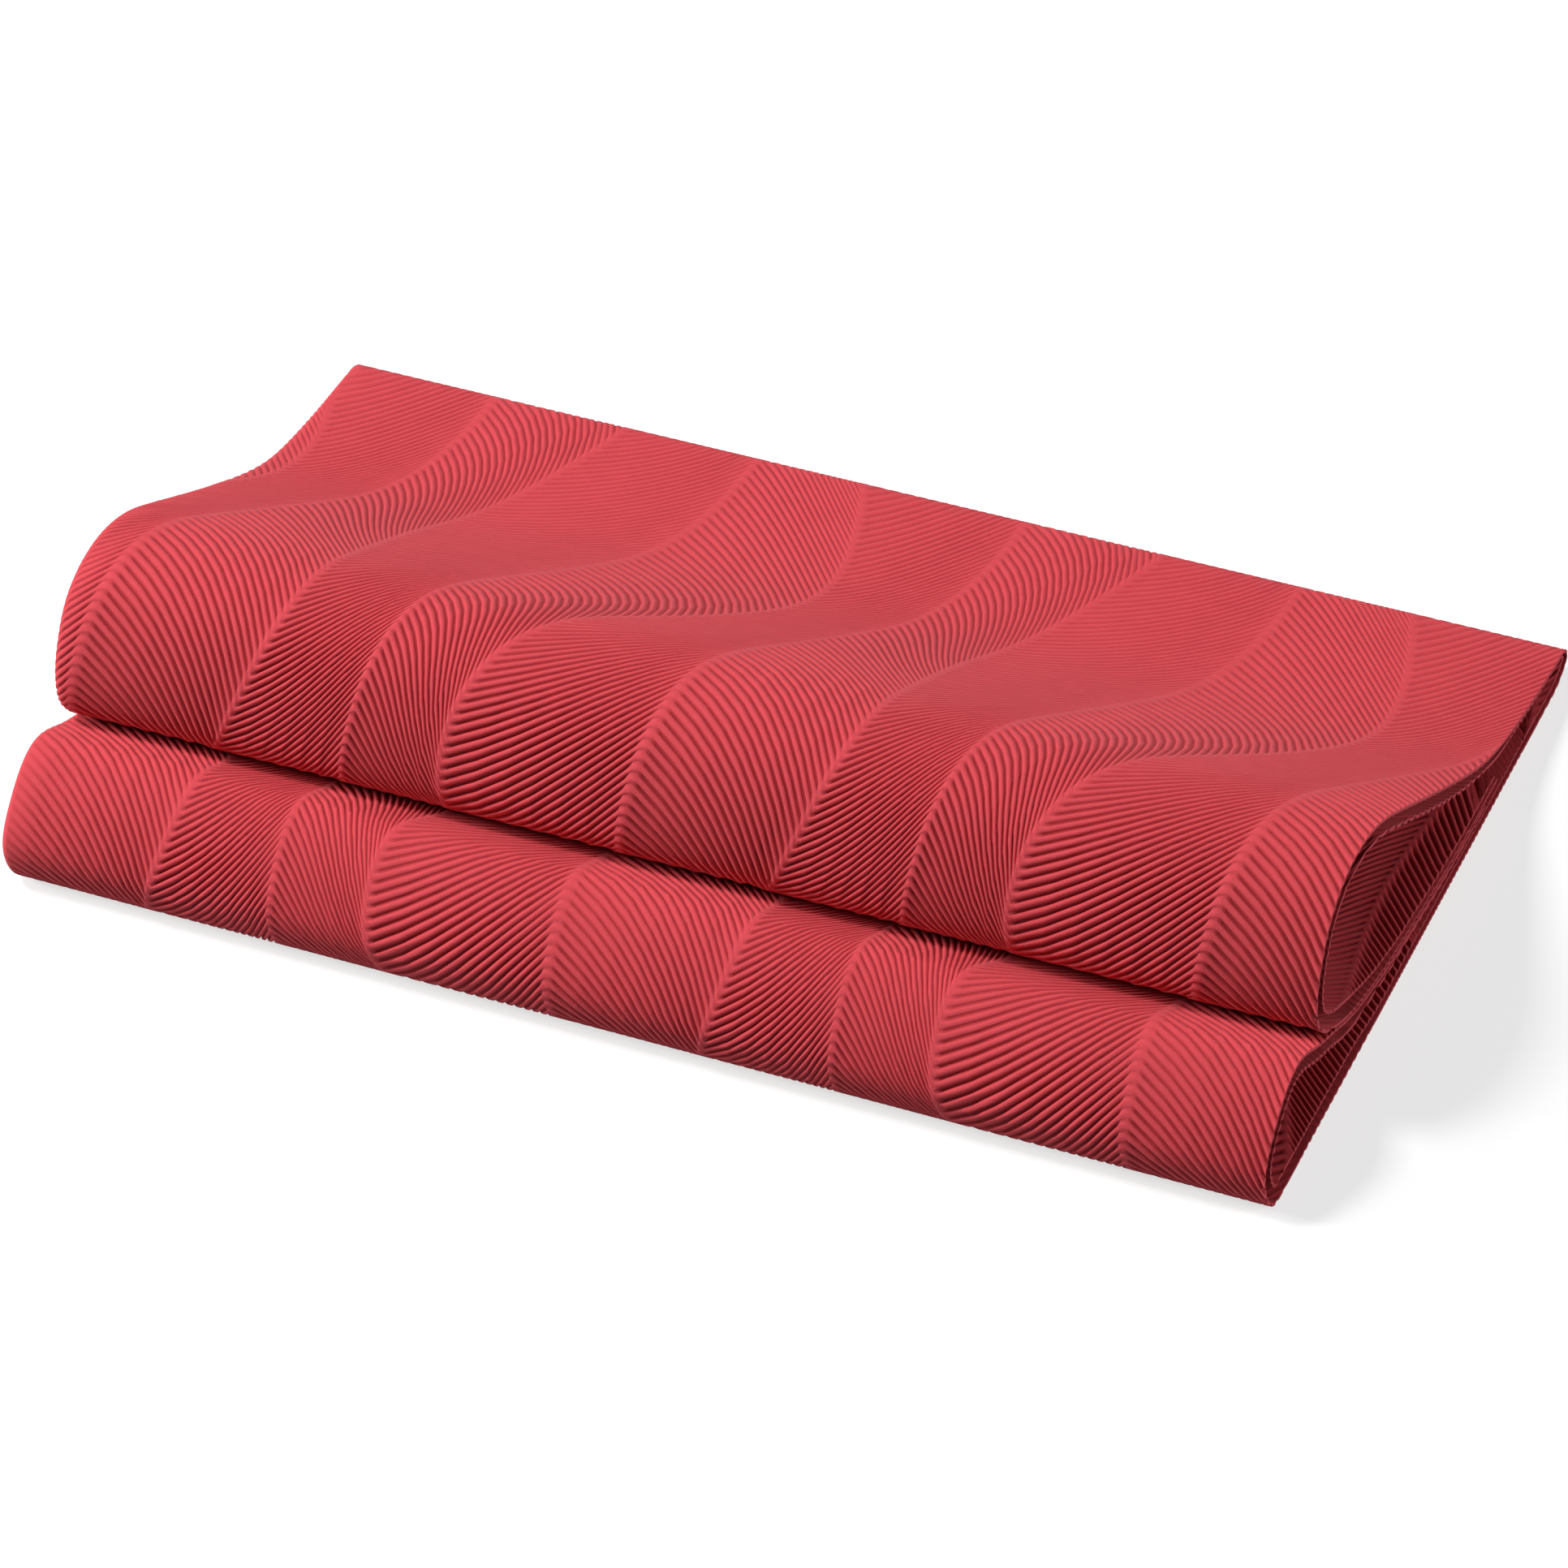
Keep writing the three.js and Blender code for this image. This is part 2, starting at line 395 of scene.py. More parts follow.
@dataclass(frozen=True)
class Embossing:
    """The pressed pattern: borders that flow along the sheet, with slanted ribs between them.

    Every second border is the midrib of a row of leaves, and the one between two midribs sways
    more, so that the leaves of one row are broad where those of the next are slim. Lengths are
    in millimetres, the phases in radians. The groove's floor and brim are shares of the pitch,
    and the margin a share of the band.
    """

    bands: int = 18
    pitch: float = 1.7
    slant: float = 26.0
    bow: float = 3.2
    leaf_length: float = 118.0
    leaf_sway: float = 6.4
    midrib_sway: float = 2.2
    midrib_phase: float = 1.2
    drift: float = 12.0
    drift_length: float = 270.0
    drift_phase: float = 0.6
    groove_floor: float = 0.12
    groove_brim: float = 0.27
    margin: float = 0.03
    full_spacing: float = 0.64
    crease_press: float = 0.93
    crease_reach: float = 4.5
    flattened: tuple[tuple[float, float], ...] = (
        (84, 0.0), (112, 0.52), (282, 0.52), (298, 0.0), (312, 0.0), (323, 0.4)
    )

    @property
    def band(self) -> float:
        """The mean width of a band."""
        return SHEET_SIDE / self.bands

    def border(self, number: np.ndarray, along: np.ndarray) -> np.ndarray:
        """Where a border lies across the sheet.

        Its own place, plus a slow drift that all borders share, plus a sway: a sine over the
        leaf's length, whose sign changes from one leaf edge to the next.
        """
        home = (number - 0.5) * self.band
        turn = 2 * math.pi * along
        drift = self.drift * np.sin(turn / self.drift_length + self.drift_phase)
        is_edge = number % 2 == 0
        sign = np.where(number % 4 == 0, 1.0, -1.0)
        leaf = self.leaf_sway * sign * np.sin(turn / self.leaf_length)
        midrib = self.midrib_sway * np.sin(turn / self.leaf_length + self.midrib_phase)
        return home + drift + np.where(is_edge, leaf, midrib)

    def groove(self, phase: np.ndarray) -> np.ndarray:
        """How deep the paper is pressed at a phase of the rib, 0 to 1.

        One round phase 0, falling as 1 - (3 t^2 - 2 t^3) from the groove's floor to its brim.
        """
        away = np.minimum(phase, 1 - phase)
        t = np.clip((away - self.groove_floor) / (self.groove_brim - self.groove_floor), 0, 1)
        return 1 - t * t * (3 - 2 * t)

    def kept(self, across: np.ndarray, along: np.ndarray) -> np.ndarray:
        """The share of a groove's depth that folding has left.

        One, less the largest of three losses: a bell round each of the two creases, and in the
        outer layer the loss where the bundle was pressed flat from above, which runs in straight
        lines between the places of flattened.
        """
        left = self.crease_press * np.exp(-(((across - LEFT_CREASE) / self.crease_reach) ** 2))
        back = self.crease_press * np.exp(-(((along - BACK_CREASE) / self.crease_reach) ** 2))
        outer = np.interp(across, (LEFT_CREASE, LEFT_CREASE + self.crease_reach), (1, 0))
        flat = outer * np.interp(along, *zip(*self.flattened))
        return 1 - np.maximum(np.maximum(left, back), flat)

    def spacing(
        self, band: np.ndarray, share: np.ndarray, along: np.ndarray, across: np.ndarray
    ) -> np.ndarray:
        """How far apart the ribs lie, square to themselves, as a share of the pitch.

        A line of constant share leans by m, the step across for a step of 1 along. A rib goes
        v = slant + 4 bow (1 - 2 t) along and w + m v across for the whole width w of its band.
        Sheared or not, the area between two ribs stays w times the pitch, so the spacing is w
        over the length of that way.

        Args:
            band: the number of the band of each column.
            share: the share of that band.
            along: places along the sheet, one row for each row of points.
            across: places across the sheet, in the same shape.

        Returns:
            One value for each point.
        """
        left, right = self.border(band, along + 1), self.border(band + 1, along + 1)
        lean = left + (right - left) * share - across
        fall = (self.slant + 4 * self.bow * (1 - 2 * share)) * np.where(band % 2, -1, 1)
        width = right - left
        return width / np.hypot(width + lean * fall, fall)

    def _rows(self, area: Area, grid: RibGrid) -> tuple[np.ndarray, np.ndarray]:
        """The rows that cover an area: how many pitches along each lies, and its phase."""
        lean = self.slant / 2 + self.bow
        first = math.floor((area.start - lean) / self.pitch) - 1
        last = math.ceil((area.end + lean) / self.pitch) + 1
        rows = [
            (rib + phase, phase)
            for rib in range(first, last)
            for phase in grid.rows(rib * self.pitch, self.pitch, lean)
        ]
        row, phase = np.array(rows).T
        return row, phase

    def paper(self, area: Area, grid: RibGrid) -> FlatPaper:
        """The flat paper of one area, as faces along the ribs.

        A point has a row r, in millimetres, and lies at the share t of the width of its band.
        The rib falls by f = slant (t - 1/2) + 4 bow t (1 - t), turned over in every other band,
        so along = r - f, and across lies t of the way between the band's two borders there.
        Within the margin of a border the paper is plain, and ribs that crowd are shallow.

        Args:
            area: the part of the sheet.
            grid: the rows and columns to use.

        Returns:
            The paper, trimmed to that area.
        """
        spare = self.drift + self.leaf_sway + self.band
        first = math.floor((area.left - spare) / self.band)
        last = math.ceil((area.right + spare) / self.band)
        band, share = np.meshgrid(np.arange(first, last), grid.columns, indexing="ij")
        band, share = band.ravel(), share.ravel()
        row, phase = self._rows(area, grid)
        fall = self.slant * (share - 0.5) + 4 * self.bow * share * (1 - share)
        along = row[:, None] * self.pitch - fall * np.where(band % 2, 1, -1)
        left, right = self.border(band, along), self.border(band + 1, along)
        across = left + (right - left) * share
        ribbed = np.minimum(share, 1 - share) > self.margin
        crowded = np.minimum(self.spacing(band, share, along, across) / self.full_spacing, 1)
        groove = self.groove(phase)[:, None] * ribbed * crowded * self.kept(across, along)
        points = np.stack([across.ravel(), along.ravel(), groove.ravel()], 1)
        number = np.arange(len(points)).reshape(across.shape)
        a, b = number[:-1, :-1].ravel(), number[:-1, 1:].ravel()
        d, c = number[1:, :-1].ravel(), number[1:, 1:].ravel()
        paper = FlatPaper(points, np.stack([a, b, c, d], 1))
        paper.trim(Axis.ALONG, area.start, area.end)
        paper.trim(Axis.ACROSS, area.left, area.right)
        return paper


def zip_edges(
    first: np.ndarray, second: np.ndarray, first_at: np.ndarray, second_at: np.ndarray
) -> np.ndarray:
    """Triangles between two rows of points that start and end together.

    Each step along one row makes a triangle with the point that the other row has reached.

    Args:
        first: point numbers of one row, in order.
        second: point numbers of the other row, in order.
        first_at: the places of the first row's points.
        second_at: the places of the second row's points.

    Returns:
        Triangles, turned so that they meet a face that runs forward along the first row.
    """
    reached = np.searchsorted(second_at[1:], first_at[1:], side="left")
    along_first = np.stack([first[1:], first[:-1], second[reached]], 1)
    reached = np.searchsorted(first_at[1:], second_at[1:], side="right")
    along_second = np.stack([second[:-1], second[1:], first[reached]], 1)
    return np.concatenate([along_first, along_second])


@dataclass(frozen=True)
class BakeMap:
    """How the map for baking is shared out, in shares of its side.

    The face lies at the left, the back beside it, and above them one thin strip for each edge.
    """

    rim: float = 0.01
    face_width: float = 0.48
    face_height: float = 0.92
    back_start: float = 0.51
    strips_start: float = 0.945
    strip_step: float = 0.0125
    strip_height: float = 0.008

    def face(self, shares: np.ndarray, is_back: np.ndarray) -> np.ndarray:
        """Places of corners on the face or the back, from their shares across and along."""
        u, v = shares[:, 0] * self.face_width, shares[:, 1] * self.face_height
        return np.stack([u + np.where(is_back, self.back_start, self.rim), v + self.rim], 1)

    def strip(self, shares: np.ndarray, is_back: np.ndarray, number: int) -> np.ndarray:
        """Places of corners on an edge, from how far along it they lie and the edge's number."""
        v = self.strips_start + number * self.strip_step + is_back * self.strip_height
        return np.stack([shares * (1 - 2 * self.rim) + self.rim, v], 1)


@dataclass
class PaperPiece:
    """One piece of the napkin's sheet: both faces of the paper and the edges between them.

    The paper turns by bend, in radians, from one score to the next, and needs none where its
    radius is over wide_bend. crease_scores lie that far from the left crease. The inner layer's
    cut edge lies edge_step back from the outer one's. Lengths are in millimetres.
    """

    name: str
    area: Area
    face_grid: RibGrid
    back_grid: RibGrid
    embossing: Embossing
    path: FoldPath
    bend: float = math.radians(20)
    wide_bend: float = 10.0
    crease_scores: tuple[float, ...] = (-2.3, -1.4, -0.5, 0.5, 1.4, 2.3)
    edge_step: float = 0.3
    bake_map: BakeMap = BakeMap()

    SHEET_MAP_UNIT = 100.0

    def _scored(self, grid: RibGrid) -> FlatPaper:
        """The flat paper, scored at its tight bends and round the left crease."""
        paper = self.embossing.paper(self.area, grid)
        for place in self.path.scores(self.bend, self.wide_bend):
            if self.area.start < place < self.area.end:
                paper.score(Axis.ALONG, place)
        for offset in self.crease_scores:
            if self.area.left < LEFT_CREASE + offset < self.area.right:
                paper.score(Axis.ACROSS, LEFT_CREASE + offset)
        paper.weld()
        return paper

    def _folded(self, points: np.ndarray, is_back: bool) -> np.ndarray:
        """Places of flat points in the folded bundle, in metres.

        The section across the strip is a long flat U round the gap between the layers. With m
        the depth of the gap's middle and r the distance out from it, the outer leg lies at depth
        m - r, the inner leg at m + r, and the left crease is the half circle between them. The
        strip's path then carries the section: a depth d moves a point d along the inward normal.

        Args:
            points: across, along and groove.
            is_back: whether they are on the back, which rises and falls half as much.

        Returns:
            One row of x, y and z for each point.
        """
        across, along, groove = points.T
        y, z, heading, gap = self.path.at(along)
        middle = PLY + gap / 2
        sunk = PLY - BACK_RELIEF * (1 - groove) if is_back else RELIEF * groove
        reach = middle - sunk
        quarter = math.pi / 2 * middle
        leg = BUNDLE_LENGTH - middle
        stretch = leg / (BUNDLE_LENGTH - quarter)
        past = across - LEFT_CREASE
        angle = np.clip(past / quarter, -1, 1) * math.pi / 2 + math.pi / 2
        crease_x = middle - BUNDLE_LENGTH / 2
        straight = np.clip(np.abs(past) - quarter, 0, None) * stretch
        x = crease_x + straight - reach * np.sin(angle)
        x -= np.where(past > 0, self.edge_step * straight / leg, 0.0)
        depth = middle - reach * np.cos(angle)
        inward_y, inward_z = np.sin(heading), -np.cos(heading)
        place = np.stack([x, y + inward_y * depth - BUNDLE_DEPTH / 2, z + inward_z * depth], 1)
        return place * MILLIMETRE

    def build(self) -> Object:
        """Makes the piece's closed mesh, with its maps and the groove attribute.

        On the top of the bundle, across runs to the left and along to the back. So a quad of the
        face has to go a, d, c, b to point outwards, and one of the back d, a, b, c.

        Returns:
            The object, at the origin, in the scene's collection.
        """
        face, back = self._scored(self.face_grid), self._scored(self.back_grid)
        flat = np.concatenate([face.points, back.points])
        offset = len(face.points)
        area = self.area
        sides = (
            (Axis.ALONG, area.start, True),
            (Axis.ALONG, area.end, False),
            (Axis.ACROSS, area.left, False),
            (Axis.ACROSS, area.right, True),
        )
        walls, strips = [], []
        for axis, at, turned in sides:
            rows = [paper.edge(axis, at) for paper in (face, back)]
            places = [paper.points[row, 1 - axis] for paper, row in zip((face, back), rows)]
            wall = zip_edges(rows[0], rows[1] + offset, *places)
            walls.append(wall[:, ::-1] if turned else wall)
            corners = walls[-1].ravel()
            shares = self._shares(flat[corners])[:, 1 - axis]
            strips.append(self.bake_map.strip(shares, corners >= offset, len(strips)))
        quads = np.concatenate([face.quads[:, [0, 3, 2, 1]], back.quads[:, [3, 0, 1, 2]] + offset])
        triangles = np.concatenate([face.triangles[:, ::-1], back.triangles + offset])
        points = np.concatenate([self._folded(face.points, False), self._folded(back.points, True)])
        corners = np.concatenate([quads.ravel(), triangles.ravel()])
        faces = self.bake_map.face(self._shares(flat[corners]), corners >= offset)
        mesh = self._mesh(points, quads, triangles, np.concatenate(walls))
        # Painted shade: the material darkens the face in its grooves and the back in its valleys by
        # this.
        sunk = np.concatenate([face.points[:, 2], 1 - back.points[:, 2]])
        self._add_maps(mesh, flat, sunk, np.concatenate([faces, *strips]))
        piece = bpy.data.objects.new(self.name, mesh)
        bpy.context.scene.collection.objects.link(piece)
        return piece

    def _shares(self, flat: np.ndarray) -> np.ndarray:
        """How far across and along the piece each flat point lies, 0 to 1."""
        corner = np.array([self.area.left, self.area.start])
        return (flat[:, :2] - corner) / np.array(self.area.size)

    def _mesh(
        self, points: np.ndarray, quads: np.ndarray, triangles: np.ndarray, walls: np.ndarray
    ) -> Mesh:
        """Fills a Blender mesh from arrays.

        Args:
            points: places in metres.
            quads: four point numbers a row.
            triangles: three point numbers a row.
            walls: the triangles of the edges, which take the second material.

        Returns:
            The mesh, shaded smooth but for the corners between a face and an edge.
        """
        corners = np.concatenate([quads.ravel(), triangles.ravel(), walls.ravel()])
        sizes = np.repeat([4, 3], [len(quads), len(triangles) + len(walls)])
        on_edge = np.arange(len(sizes)) >= len(sizes) - len(walls)
        mesh = bpy.data.meshes.new(self.name)
        mesh.vertices.add(len(points))
        mesh.vertices.foreach_set("co", points.astype(np.float32).ravel())
        mesh.loops.add(len(corners))
        mesh.loops.foreach_set("vertex_index", corners.astype(np.int32))
        mesh.polygons.add(len(sizes))
        mesh.polygons.foreach_set("loop_start", (np.cumsum(sizes) - sizes).astype(np.int32))
        mesh.polygons.foreach_set("use_smooth", np.ones(len(sizes), dtype=bool))
        mesh.polygons.foreach_set("material_index", on_edge.astype(np.int32))
        mesh.update(calc_edges=True)
        self._mark_cut_edges(mesh, np.repeat(on_edge, sizes))
        return mesh

    @classmethod
    def _add_maps(
        cls, mesh: Mesh, flat: np.ndarray, sunk: np.ndarray, baked_at: np.ndarray
    ) -> None:
        """Adds the groove attribute, by which the material paints shade into the grooves, the
        sheet's own map and the map for baking.

        The sheet's own map holds the flat places, in units of SHEET_MAP_UNIT millimetres.

        Args:
            mesh: the piece's mesh.
            flat: across and along for each point.
            sunk: how deep each point lies, 0 to 1, seen from its own side of the paper; the
                material paints shade by it.
            baked_at: the place of each corner on the map for baking.
        """
        groove = mesh.attributes.new("groove", "FLOAT", "POINT")
        groove.data.foreach_set("value", sunk.astype(np.float32))
        corners = np.empty(len(mesh.loops), dtype=np.int32)
        mesh.loops.foreach_get("vertex_index", corners)
        sheet_map = mesh.uv_layers.new(name="sheet")
        on_sheet = flat[corners, :2] / cls.SHEET_MAP_UNIT
        sheet_map.uv.foreach_set("vector", on_sheet.astype(np.float32).ravel())
        even_map = mesh.uv_layers.new(name="OFBake")
        even_map.uv.foreach_set("vector", baked_at.astype(np.float32).ravel())

    @staticmethod
    def _mark_cut_edges(mesh: Mesh, on_edge: np.ndarray) -> None:
        """Marks the sides between a face of the paper and a cut edge as sharp."""
        edges = np.empty(len(mesh.loops), dtype=np.int32)
        mesh.loops.foreach_get("edge_index", edges)
        walls = np.bincount(edges, weights=on_edge.astype(float), minlength=len(mesh.edges))
        sharp = mesh.attributes.new("sharp_edge", "BOOLEAN", "EDGE")
        sharp.data.foreach_set("value", walls == 1)


def combined(
    tree: NodeTree,
    operation: str,
    first: NodeSocket,
    second: NodeSocket | float,
    clamped: bool = False,
) -> NodeSocket:
    """Adds a Math node to a tree.

    Args:
        tree: the tree.
        operation: what the node does.
        first: the socket that feeds its first input.
        second: the socket that feeds the second input, or that input's value.
        clamped: whether the result is held between 0 and 1.

    Returns:
        The result's socket.
    """
    node = tree.nodes.new("ShaderNodeMath")
    node.operation = operation
    node.use_clamp = clamped
    tree.links.new(first, node.inputs[0])
    if isinstance(second, float):
        node.inputs[1].default_value = second
    else:
        tree.links.new(second, node.inputs[1])
    return node.outputs[0]


@dataclass(frozen=True)
class Noise:
    """A noise texture. scale is about how many of its blots lie along one unit of length."""

    scale: float
    detail: float
    roughness: float

    def add(self, tree: NodeTree, place: NodeSocket) -> NodeSocket:
        """Adds the texture to a tree, at a place, and returns its value."""
        noise = tree.nodes.new("ShaderNodeTexNoise")
        noise.inputs["Scale"].default_value = self.scale
        noise.inputs["Detail"].default_value = self.detail
        noise.inputs["Roughness"].default_value = self.roughness
        tree.links.new(place, noise.inputs["Vector"])
        return noise.outputs["Fac"]


class FibreGroup:
    """A node group that gives the paper's cloudy mottle and its fine fibres.

    The fibres lie mostly one way: the second axis of their place is squeezed by FIBRE_SQUEEZE,
    and the place is turned by FIBRE_TURN.
    """

    NAME = "paper fibres"
    CLOUDS = Noise(scale=22.0, detail=3.0, roughness=0.6)
    FIBRES = Noise(scale=190.0, detail=3.0, roughness=0.65)
    GRAIN = Noise(scale=420.0, detail=2.0, roughness=0.7)
    FIBRE_SQUEEZE = 3.4
    FIBRE_TURN = 0.5

    @classmethod
    def tree(cls) -> NodeTree:
        """The group, built once.

        Returns:
            A tree with the inputs Place and Scale and the outputs Mottle, Fibres and Height.
        """
        if cls.NAME in bpy.data.node_groups:
            return bpy.data.node_groups[cls.NAME]
        tree = bpy.data.node_groups.new(cls.NAME, "ShaderNodeTree")
        tree.interface.new_socket("Place", in_out="INPUT", socket_type="NodeSocketVector")
        scale_in = tree.interface.new_socket("Scale", in_out="INPUT", socket_type="NodeSocketFloat")
        scale_in.default_value = 1.0
        for name in ("Mottle", "Fibres", "Height"):
            tree.interface.new_socket(name, in_out="OUTPUT", socket_type="NodeSocketFloat")
        nodes, links = tree.nodes, tree.links
        source = nodes.new("NodeGroupInput")
        sink = nodes.new("NodeGroupOutput")
        scaled = nodes.new("ShaderNodeVectorMath")
        scaled.operation = "SCALE"
        links.new(source.outputs["Place"], scaled.inputs[0])
        links.new(source.outputs["Scale"], scaled.inputs["Scale"])
        squeezed = nodes.new("ShaderNodeMapping")
        squeezed.inputs["Scale"].default_value = (1.0, cls.FIBRE_SQUEEZE, 1.0)
        squeezed.inputs["Rotation"].default_value = (0.0, 0.0, cls.FIBRE_TURN)
        links.new(scaled.outputs[0], squeezed.inputs["Vector"])
        fibres = cls.FIBRES.add(tree, squeezed.outputs[0])
        grain = cls.GRAIN.add(tree, scaled.outputs[0])
        links.new(cls.CLOUDS.add(tree, scaled.outputs[0]), sink.inputs["Mottle"])
        links.new(fibres, sink.inputs["Fibres"])
        links.new(combined(tree, "ADD", fibres, grain), sink.inputs["Height"])
        return tree


@dataclass(frozen=True)
class FibreFinish:
    """What the finishes share: a light colour, a dark one for painted shade and fibres, raised
    fibres.
    """

    name: str
    light: tuple[float, float, float]
    shade_and_fibre_colour: tuple[float, float, float]
    roughness: float
    specular: float
    fibre_scale: float
    fibre_height: float

    def material(self) -> Material:
        """The finish's material, which goes from the light colour to the dark one, for painted
        shade and fibres.
        """
        material = bpy.data.materials.new(self.name)
        material.use_nodes = True
        tree = material.node_tree
        shader = tree.nodes["Principled BSDF"]
        shader.inputs["Roughness"].default_value = self.roughness
        shader.inputs["Specular IOR Level"].default_value = self.specular
        self._add_sheen(shader)
        fibres = tree.nodes.new("ShaderNodeGroup")
        fibres.node_tree = FibreGroup.tree()
        fibres.inputs["Scale"].default_value = self.fibre_scale
        tree.links.new(self._place(tree), fibres.inputs["Place"])
        colour = tree.nodes.new("ShaderNodeMix")
        colour.data_type = "RGBA"
        colour.inputs["A"].default_value = (*self.light, 1.0)
        colour.inputs["B"].default_value = (*self.shade_and_fibre_colour, 1.0)
        tree.links.new(self._shade_and_fibre_share(tree, fibres), colour.inputs["Factor"])
        tree.links.new(colour.outputs["Result"], shader.inputs["Base Color"])
        bump = tree.nodes.new("ShaderNodeBump")
        bump.inputs["Distance"].default_value = self.fibre_height
        tree.links.new(fibres.outputs["Height"], bump.inputs["Height"])
        tree.links.new(bump.outputs["Normal"], shader.inputs["Normal"])
        return material

    def _add_sheen(self, shader: Node) -> None:
        """Gives the shader no sheen, unless a finish has its own."""

    def _place(self, tree: NodeTree) -> NodeSocket:
        """Where the fibres lie."""
        raise NotImplementedError

    def _shade_and_fibre_share(self, tree: NodeTree, fibres: Node) -> NodeSocket:
        """How far the colour goes from the light one to the dark one, for painted shade and fibres.
        """
        raise NotImplementedError


@dataclass(frozen=True)
class PaperFinish(FibreFinish):
    """Soft coloured paper, with painted shade darkening its grooves, and cloudy from its fibres."""

    name: str = "embossed paper"
    light: tuple[float, float, float] = (0.72, 0.070, 0.088)
    # The dark colour is painted shade at the grooves' floors, mixed with the mottle and fibres.
    shade_and_fibre_colour: tuple[float, float, float] = (0.34, 0.020, 0.026)
    roughness: float = 0.86
    specular: float = 0.25
    fibre_scale: float = 1.0
    fibre_height: float = 0.00006
    sheen: float = 0.12
    sheen_roughness: float = 0.4
    sheen_tint: tuple[float, float, float] = (1.0, 0.55, 0.58)
    # Share of the painted shade that darkens the grooves.
    groove_shade_share: float = 0.64
    mottle_share: float = 0.10
    noise_range: tuple[float, float] = (0.3, 0.7)

    def _add_sheen(self, shader: Node) -> None:
        """Adds the soft bloom of the fibres' ends."""
        shader.inputs["Sheen Weight"].default_value = self.sheen
        shader.inputs["Sheen Roughness"].default_value = self.sheen_roughness
        shader.inputs["Sheen Tint"].default_value = (*self.sheen_tint, 1.0)

    def _place(self, tree: NodeTree) -> NodeSocket:
        """The place on the flat sheet."""
        place = tree.nodes.new("ShaderNodeUVMap")
        place.uv_map = "sheet"
        return place.outputs["UV"]

    def _shade_and_fibre_share(self, tree: NodeTree, fibres: Node) -> NodeSocket:
        """Painted shade in the grooves from the groove attribute, plus one share each for the
        mottle and the fibres.
        """
        groove = tree.nodes.new("ShaderNodeAttribute")
        groove.attribute_name = "groove"
        # Painted shade: the deeper a point lies in its groove, the darker it is painted.
        painted_groove_shade = combined(tree, "MULTIPLY", groove.outputs["Fac"], self.groove_shade_share)
        mottle = self._mottled(tree, fibres.outputs["Mottle"])
        streaks = self._mottled(tree, fibres.outputs["Fibres"])
        clouded = combined(tree, "ADD", mottle, streaks)
        return combined(tree, "ADD", painted_groove_shade, clouded, clamped=True)

    def _mottled(self, tree: NodeTree, noise: NodeSocket) -> NodeSocket:
        """Stretches a noise from its own range to 0 and the mottle's share."""
        stretched = tree.nodes.new("ShaderNodeMapRange")
        low, high = self.noise_range
        stretched.inputs["From Min"].default_value = low
        stretched.inputs["From Max"].default_value = high
        stretched.inputs["To Min"].default_value = 0.0
        stretched.inputs["To Max"].default_value = self.mottle_share
        tree.links.new(noise, stretched.inputs["Value"])
        return stretched.outputs["Result"]


@dataclass(frozen=True)
class CutEdgeFinish(FibreFinish):
    """The cut edge of the paper: paler, with the fibres' ends standing out."""

    name: str = "cut paper edge"
    light: tuple[float, float, float] = (0.78, 0.13, 0.15)
    shade_and_fibre_colour: tuple[float, float, float] = (0.50, 0.05, 0.065)
    roughness: float = 0.95
    specular: float = 0.2
    fibre_scale: float = 20.0
    fibre_height: float = 0.00005

    def _place(self, tree: NodeTree) -> NodeSocket:
        """The place in space, because an edge is too thin for the sheet's map."""
        return tree.nodes.new("ShaderNodeTexCoord").outputs["Object"]

    def _shade_and_fibre_share(self, tree: NodeTree, fibres: Node) -> NodeSocket:
        """The fibres alone."""
        return fibres.outputs["Fibres"]


@dataclass
class Napkin:
    """The whole sheet, in four pieces that meet where no one looks.

    Two lie outside, with the left crease, and two inside. They meet just inside the left crease
    and on the flat base. FINE, MEDIUM, PLAIN and HIDDEN are rows of a rib, from the most to the
    fewest, and COLUMNS and FEW_COLUMNS the columns of a band.
    """

    side_join: float = LEFT_CREASE + 4.5
    base_join: float = 200.0
    embossing: Embossing = field(default_factory=Embossing)
    path: FoldPath = field(default_factory=FoldPath)

    FINE = (0.0, 0.11, 0.19, 0.28, 0.72, 0.81, 0.89)
    MEDIUM = (0.12, 0.27, 0.5, 0.73, 0.88)
    PLAIN = (0.0, 0.27, 0.73)
    HIDDEN = (0.0, 0.5)
    COLUMNS = (0.018, 0.045, 0.19, 0.345, 0.5, 0.655, 0.81, 0.955, 0.982)
    FEW_COLUMNS = (0.018, 0.06, 0.35, 0.65, 0.94, 0.982)

    def pieces(self) -> list[PaperPiece]:
        """The four pieces, each with finer rows where it shows."""
        outside = RibGrid(
            self.COLUMNS,
            self.HIDDEN,
            (Zone(66, 100, self.FINE), Zone(100, 298, self.MEDIUM), Zone(298, 334, self.FINE)),
        )
        lining = RibGrid(
            self.FEW_COLUMNS,
            self.HIDDEN,
            (Zone(66, 190, self.PLAIN), Zone(298, 334, self.PLAIN)),
        )
        inside = RibGrid(
            self.COLUMNS,
            self.HIDDEN,
            (Zone(30, 165, self.MEDIUM), Zone(262, 350, self.MEDIUM)),
        )
        halves = {"upper": (0.0, self.base_join), "lower": (self.base_join, SHEET_SIDE)}
        pieces = []
        for half, ends in halves.items():
            outer = Area(0.0, self.side_join, *ends)
            inner = Area(self.side_join, SHEET_SIDE, *ends)
            shared = (lining, self.embossing, self.path)
            pieces.append(PaperPiece(f"napkin_outer_{half}", outer, outside, *shared))
            pieces.append(PaperPiece(f"napkin_inner_{half}", inner, inside, *shared))
        return pieces

    def build(self) -> None:
        finishes = [PaperFinish().material(), CutEdgeFinish().material()]
        for paper in self.pieces():
            piece = paper.build()
            for finish in finishes:
                piece.data.materials.append(finish)
            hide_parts("napkin")
            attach(piece, "root")
            triangles = len(piece.data.loops) - 2 * len(piece.data.polygons)
            log.info("%s: %d triangles", piece.name, triangles)


